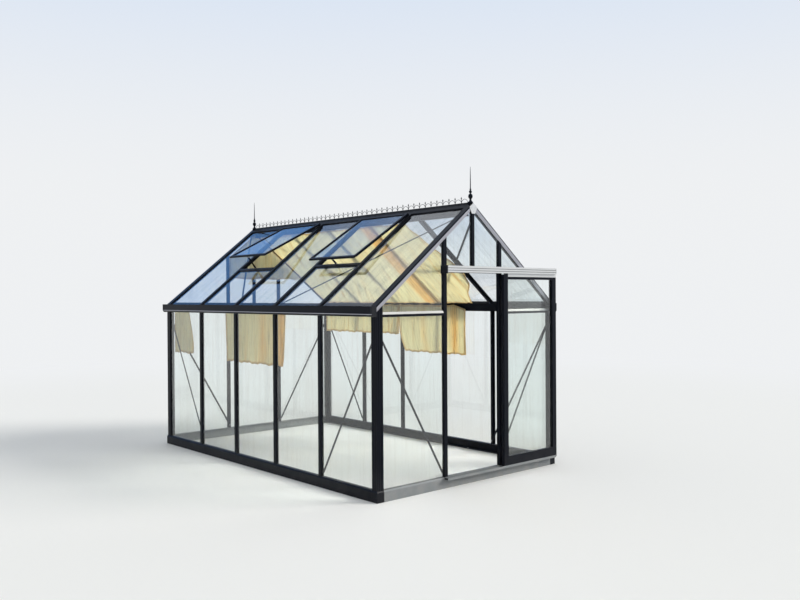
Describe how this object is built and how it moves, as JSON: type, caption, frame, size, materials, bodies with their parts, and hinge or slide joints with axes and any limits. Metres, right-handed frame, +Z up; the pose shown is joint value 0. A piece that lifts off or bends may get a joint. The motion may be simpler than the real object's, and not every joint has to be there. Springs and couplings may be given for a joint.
{
  "type": "glass greenhouse",
  "caption": "Free-standing glass greenhouse: pitched roof on black metal glazing bars, hinged roof vents, side gutters, ridge cresting with finials, and a door that slides on an outside track.",
  "frame": {"origin": "on the ground, in the middle of the footprint that the gutters, back sill and door track reach", "axes": "+Z up; the ridge runs along Y; the door gable faces -Y; +X is to the right when facing the door"},
  "size_m": [2.47, 3.938, 2.933],
  "materials": {
    "black_powder_coat": "satin",
    "pale_aluminium": "satin",
    "clear_glass": "gloss",
    "shade_cloth": "woven",
    "zinc_plated_steel": "satin",
    "roller_nylon": "matte"
  },
  "bodies": {
    "frame": {"side_base_sills": "black_powder_coat", "gable_base_sills": "black_powder_coat", "corner_posts": "black_powder_coat", "left_wall_bars": "black_powder_coat", "right_wall_bars": "black_powder_coat", "eave_beams": "black_powder_coat", "left_gutter": "black_powder_coat", "right_gutter": "black_powder_coat", "front_gable_bars": "black_powder_coat", "back_gable_bars": "black_powder_coat", "front_gable_transoms": "black_powder_coat", "back_gable_transoms": "black_powder_coat", "front_gable_rafters": "black_powder_coat", "back_gable_rafters": "black_powder_coat", "left_roof_bars": "black_powder_coat", "right_roof_bars": "black_powder_coat", "ridge_beam": "black_powder_coat", "ridge_cresting": "black_powder_coat", "ridge_finials": "black_powder_coat", "vent_sashes": "black_powder_coat", "vent_hinges": "black_powder_coat", "vent_sills": "black_powder_coat", "vent_stays": "black_powder_coat", "wall_braces": "black_powder_coat", "roof_braces": "black_powder_coat", "door_guide": "black_powder_coat", "track_strut": "black_powder_coat", "gable_trims": "pale_aluminium", "apex_plates": "pale_aluminium", "door_track": "pale_aluminium", "left_wall_glass": "clear_glass", "right_wall_glass": "clear_glass", "front_gable_glass": "clear_glass", "back_gable_glass": "clear_glass", "left_roof_glass": "clear_glass", "right_roof_glass": "clear_glass", "vent_glass": "clear_glass", "roof_shade_cloth": "shade_cloth", "right_wall_shade_cloth": "shade_cloth", "left_wall_shade_cloths": "shade_cloth"},
    "door": {"door_stiles": "black_powder_coat", "door_rails": "black_powder_coat", "door_glass": "clear_glass", "door_hangers": "zinc_plated_steel", "door_rollers": "roller_nylon"}
  },
  "joints": [
    {"name": "door_slide", "type": "slide", "parent": "frame", "child": "door", "axis": [-1, 0, 0], "range_m": [0, 0.755]}
  ]
}
